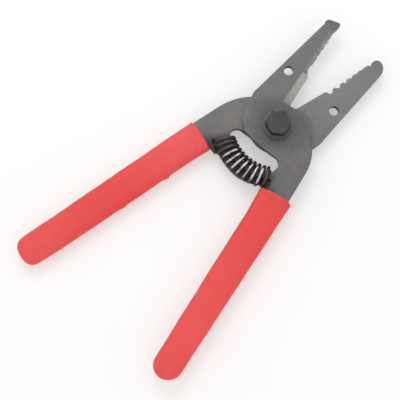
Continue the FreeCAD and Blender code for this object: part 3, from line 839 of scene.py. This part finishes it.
def dipped_vinyl(name, turn, main, rich_at):
    """Dipped vinyl: satin, slightly mottled, with a soft orange-peel skin and handling dirt at its mouth.
    Its red is fullest round v = `rich_at` and paler away from there."""
    material, tree = new_material(name)
    place = add_node(tree, "TexCoord").outputs["Object"]
    grip_place = add_node(
        tree, "Mapping", inputs={"Vector": place, "Rotation": (0, 0, -turn), "Scale": IN_MM}
    ).outputs[0]
    down = add_node(tree, "SeparateXYZ", inputs={0: grip_place}).outputs["Y"]

    # Mottled red in 15 mm clouds, and a deeper red round v = `rich_at`
    mottle = add_node(
        tree, "TexNoise", inputs={"Vector": grip_place, "Scale": 0.06, "Detail": 3, "Roughness": 0.5}
    ).outputs["Fac"]
    blotch = add_node(
        tree, "MapRange", inputs={"Value": mottle, "From Min": 0.35, "From Max": 0.65}
    ).outputs[0]
    red = add_node(
        tree, "Mix", BLEND, {"Factor": blotch, 6: linear(main), 7: linear(VINYL_PINK)}
    ).outputs[2]
    away = add_node(tree, "Math", {"operation": "SUBTRACT"}, {0: down, 1: rich_at}).outputs[0]
    away = add_node(tree, "Math", {"operation": "ABSOLUTE"}, {0: away}).outputs[0]
    richness = add_node(
        tree, "MapRange", inputs={"Value": away, "From Min": 38, "From Max": 8, "To Max": 0.75}
    ).outputs[0]
    red = add_node(tree, "Mix", BLEND, {"Factor": richness, 6: red, 7: linear(VINYL_RICH)}).outputs[2]

    # Handling has left smudges all over, and more of them at the mouth and at the end
    smudge = add_node(
        tree, "TexNoise", inputs={"Vector": grip_place, "Scale": 0.35, "Detail": 5, "Roughness": 0.65}
    ).outputs["Fac"]
    near_mouth = add_node(
        tree, "MapRange", inputs={"Value": down, "From Min": -36, "From Max": -27, "To Max": 0.5}
    ).outputs[0]
    near_end = add_node(
        tree, "MapRange", inputs={"Value": down, "From Min": -98, "From Max": -116, "To Max": 0.25}
    ).outputs[0]
    handled = add_node(tree, "Math", {"operation": "ADD"}, {0: near_mouth, 1: near_end}).outputs[0]
    handled = add_node(tree, "Math", {"operation": "ADD"}, {0: handled, 1: 0.12}).outputs[0]
    dirt = add_node(
        tree, "MapRange", inputs={"Value": smudge, "From Min": 0.42, "From Max": 0.7}
    ).outputs[0]
    dirt = add_node(tree, "Math", {"operation": "MULTIPLY"}, {0: dirt, 1: handled}).outputs[0]
    red = add_node(tree, "Mix", BLEND, {"Factor": dirt, 6: red, 7: linear(VINYL_DEEP)}).outputs[2]
    roughness = add_node(
        tree,
        "MapRange",
        inputs={"Value": smudge, "From Min": 0.3, "From Max": 0.7, "To Min": 0.42, "To Max": 0.56},
    ).outputs[0]

    # Orange peel of about 1 mm, with pores of 0.2 mm in it
    peel = add_node(
        tree, "TexNoise", inputs={"Vector": grip_place, "Scale": 0.9, "Detail": 2}
    ).outputs["Fac"]
    pores = add_node(
        tree, "TexNoise", inputs={"Vector": grip_place, "Scale": 5.0, "Detail": 2}
    ).outputs["Fac"]
    relief = add_node(tree, "Math", {"operation": "MULTIPLY_ADD"}, {0: pores, 1: 0.25, 2: peel}).outputs[0]
    bump = add_node(
        tree, "Bump", inputs={"Height": relief, "Strength": 0.3, "Distance": 0.1 * MM}
    ).outputs[0]
    shader = add_node(
        tree,
        "BsdfPrincipled",
        inputs={"Base Color": red, "Roughness": roughness, "IOR": 1.53, "Normal": bump},
    )
    add_node(tree, "OutputMaterial", inputs={"Surface": shader.outputs[0]})
    return material


upper_grip = dipped_grip(
    "upper_vinyl_grip",
    OPEN_HALF_ANGLE,
    middle=7.75,
    outside=(UPPER_LEFT, UPPER_RIGHT),
    handle=(UPPER_HANDLE_LEFT, UPPER_HANDLE_RIGHT),
    tip=-112.9,
    end_length=6.05,
    end_power=2.0,
    mouth=-26.5,
    bow=0.8,
    slant=0.0,
    runs=[],
)
lower_grip = dipped_grip(
    "lower_vinyl_grip",
    -OPEN_HALF_ANGLE,
    middle=4.7,
    outside=(LOWER_LEFT, LOWER_RIGHT),
    handle=(LOWER_HANDLE_LEFT, LOWER_HANDLE_RIGHT),
    tip=-117.75,
    end_length=5.15,
    end_power=2.4,
    mouth=-28.85,
    bow=0.4,
    slant=0.05,
    runs=[(-49.6, 0.55), (-71.4, 0.4)],
)
grips = [
    (upper_grip, "upper_grip", "upper_half", OPEN_HALF_ANGLE, VINYL_RED, -38),
    (lower_grip, "lower_grip", "lower_half", -OPEN_HALF_ANGLE, VINYL_ROSE, -74),
]
for piece, node_name, body, turn, main, rich_at in grips:
    piece.data.materials.append(dipped_vinyl("dipped_" + node_name, turn, main, rich_at))
    soften_corners(piece, 40)
    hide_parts(node_name)
    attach(piece, body)

# Floor, light and camera: a white sweep, an even white sky with one broad soft lamp up to the left,
# and a long lens above the tool, turned 44 degrees about the pivot's axis and tipped ten degrees
# towards the handles.

FLOOR_REACH = 3
FLOOR_WHITE = (0.98, 0.98, 0.98, 1)
PLAIN_WHITE = (1, 1, 1, 1)
SKY_STRENGTH = 0.8
LAMP_PLACE = Vector((-0.35, 0.25, 0.6))
LAMP_AIM = Vector((0, -0.04, 0))
CAMERA_AIM = Vector((-0.002247, -0.043777, 0))
CAMERA_DISTANCE = 0.406126
CAMERA_HEADING = math.radians(44)
CAMERA_TILT = math.radians(10)

floor_mesh = bpy.data.meshes.new("floor")
floor_corners = [(x * FLOOR_REACH, y * FLOOR_REACH, 0) for x, y in ((-1, -1), (1, -1), (1, 1), (-1, 1))]
floor_mesh.from_pydata(floor_corners, [], [(0, 1, 2, 3)])
floor = bpy.data.objects.new("floor", floor_mesh)
bpy.context.collection.objects.link(floor)

# The paper glows a little, to the camera alone, so that it is white without more light on the tool
paper, tree = new_material("white_paper")
diffuse = add_node(tree, "BsdfDiffuse", inputs={"Color": FLOOR_WHITE})
glow = add_node(tree, "Emission", inputs={"Color": PLAIN_WHITE, "Strength": 1.15})
rays = add_node(tree, "LightPath")
seen = add_node(
    tree, "Math", {"operation": "MULTIPLY"}, {0: rays.outputs["Is Camera Ray"], 1: 0.35}
).outputs[0]
mixed = add_node(tree, "MixShader", inputs={0: seen, 1: diffuse.outputs[0], 2: glow.outputs[0]})
add_node(tree, "OutputMaterial", inputs={"Surface": mixed.outputs[0]})
floor_mesh.materials.append(paper)

world = bpy.data.worlds.new("studio")
bpy.context.scene.world = world
world.use_nodes = True
world.node_tree.nodes["Background"].inputs["Color"].default_value = PLAIN_WHITE
world.node_tree.nodes["Background"].inputs["Strength"].default_value = SKY_STRENGTH

lamp = bpy.data.lights.new("soft_lamp", "AREA")
lamp.shape = "DISK"
lamp.size = 0.35
lamp.energy = 1.0
lamp_object = bpy.data.objects.new("soft_lamp", lamp)
bpy.context.collection.objects.link(lamp_object)
lamp_object.location = LAMP_PLACE
lamp_object.rotation_euler = (LAMP_AIM - LAMP_PLACE).to_track_quat("-Z", "Y").to_euler()

camera = bpy.data.cameras.new("camera")
camera.sensor_width = 36
camera.lens = 87.8
camera.clip_end = 20
camera_object = bpy.data.objects.new("camera", camera)
bpy.context.collection.objects.link(camera_object)
facing = Matrix.Rotation(CAMERA_HEADING, 4, "Z") @ Matrix.Rotation(CAMERA_TILT, 4, "X")
back_off = Matrix.Translation((0, 0, CAMERA_DISTANCE))
camera_object.matrix_world = Matrix.Translation(CAMERA_AIM) @ facing @ back_off
bpy.context.scene.camera = camera_object
bpy.context.scene.view_settings.view_transform = "Standard"

bpy.context.view_layer.update()
